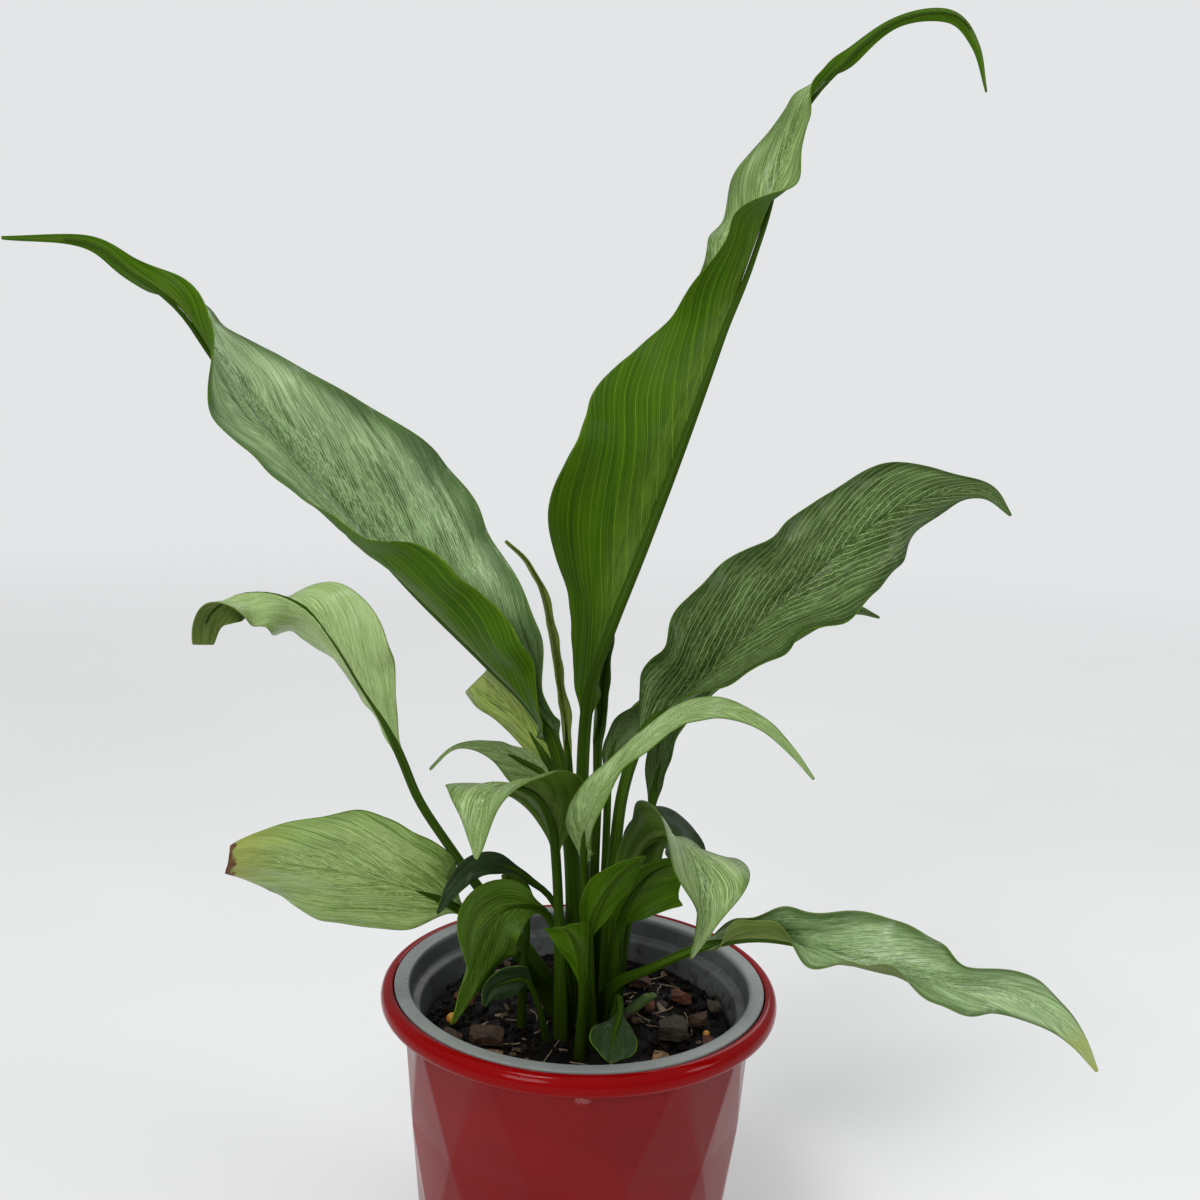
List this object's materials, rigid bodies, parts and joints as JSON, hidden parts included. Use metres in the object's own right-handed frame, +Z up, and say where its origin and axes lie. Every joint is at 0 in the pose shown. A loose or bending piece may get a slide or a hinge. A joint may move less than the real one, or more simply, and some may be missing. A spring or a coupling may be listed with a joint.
{
  "type": "potted peace lily",
  "caption": "Live foliage plant with long arching variegated leaves, in a nursery pot standing inside a glossy tapered pot with a rolled rim and tall triangular facets.",
  "frame": {"origin": "centre of the red pot's flat base, on the surface that the pot stands on", "axes": "+Z up along the pot's axis, -Y towards the viewer, +X to the viewer's right"},
  "size_m": [0.3435, 0.1592, 0.4966],
  "materials": {
    "red_pot": "gloss",
    "grey_pot": "satin",
    "compost": "matte",
    "crown": "matte",
    "leaf_green": "satin",
    "leaf_silvery": "satin",
    "leaf_pale": "satin",
    "leaf_dark": "satin",
    "leaf_spear": "satin",
    "bark": "matte",
    "granule": "satin"
  },
  "bodies": {
    "root": {"outer_pot": "red_pot", "inner_pot": "grey_pot", "soil": "compost", "crown": "crown", "leaf_tall": "leaf_green", "leaf_left_large": "leaf_silvery", "leaf_right_large": "leaf_green", "leaf_left_drooping": "leaf_pale", "leaf_left_broad": "leaf_green", "leaf_left_small_arch": "leaf_dark", "leaf_front_drooping": "leaf_pale", "leaf_left_young_tip": "leaf_green", "leaf_left_thin": "leaf_green", "leaf_left_behind": "leaf_green", "leaf_front_cup": "leaf_green", "leaf_right_arching": "leaf_green", "leaf_right_hidden": "leaf_green", "leaf_right_behind": "leaf_dark", "leaf_right_folded": "leaf_green", "leaf_right_rounded": "leaf_dark", "leaf_right_low": "leaf_pale", "leaf_centre_low": "leaf_dark", "leaf_front_cone": "leaf_pale", "leaf_right_long": "leaf_silvery", "leaf_seedling": "leaf_dark", "leaf_spear_left": "leaf_spear", "leaf_spear_right": "leaf_spear", "leaf_low_dark": "leaf_dark", "bark_chip_01": "bark", "bark_chip_02": "bark", "bark_chip_03": "bark", "bark_chip_04": "bark", "bark_chip_05": "bark", "bark_chip_06": "bark", "bark_chip_07": "bark", "bark_chip_08": "bark", "bark_chip_09": "bark", "bark_chip_10": "bark", "bark_chip_11": "bark", "bark_chip_12": "bark", "bark_chip_13": "bark", "bark_chip_14": "bark", "bark_chip_15": "bark", "bark_chip_16": "bark", "bark_chip_17": "bark", "feed_granule_1": "granule", "feed_granule_2": "granule", "feed_granule_3": "granule"}
  },
  "joints": []
}
